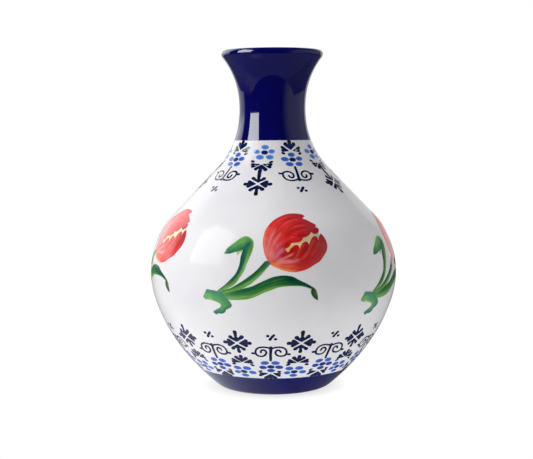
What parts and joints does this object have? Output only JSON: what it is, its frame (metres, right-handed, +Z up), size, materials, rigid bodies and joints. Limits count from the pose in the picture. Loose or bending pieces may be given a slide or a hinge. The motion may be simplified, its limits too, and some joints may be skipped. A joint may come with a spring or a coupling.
{
  "type": "bottle vase",
  "caption": "Glazed earthenware bottle vase with a round belly, narrow neck and flared lip; cobalt neck and base, white body painted with flowers.",
  "frame": {"origin": "centre of the foot, on the surface the vase stands on", "axes": "+Z up along the axis the vase was turned on; -Y faces the viewer, with the nearest painted tulip just right of it"},
  "size_m": [0.2048, 0.2048, 0.28],
  "materials": {
    "bare_clay": "matt fired clay",
    "clay": "matt fired clay, covered by glaze",
    "white_glaze": "glossy tin glaze",
    "cobalt_glaze": "glossy cobalt glaze",
    "liner_glaze": "glossy tin glaze",
    "red_enamel": "glossy painted glaze",
    "green_enamel": "glossy painted glaze",
    "blue_enamel": "glossy painted glaze",
    "navy_enamel": "glossy painted glaze"
  },
  "bodies": {
    "root": {"foot_ring": "bare_clay", "lower_bowl": "clay", "shoulder_section": "clay", "neck_section": "clay", "base_glaze": "cobalt_glaze", "body_glaze": "white_glaze", "neck_glaze": "cobalt_glaze", "liner_glaze": "liner_glaze"}
  },
  "joints": []
}
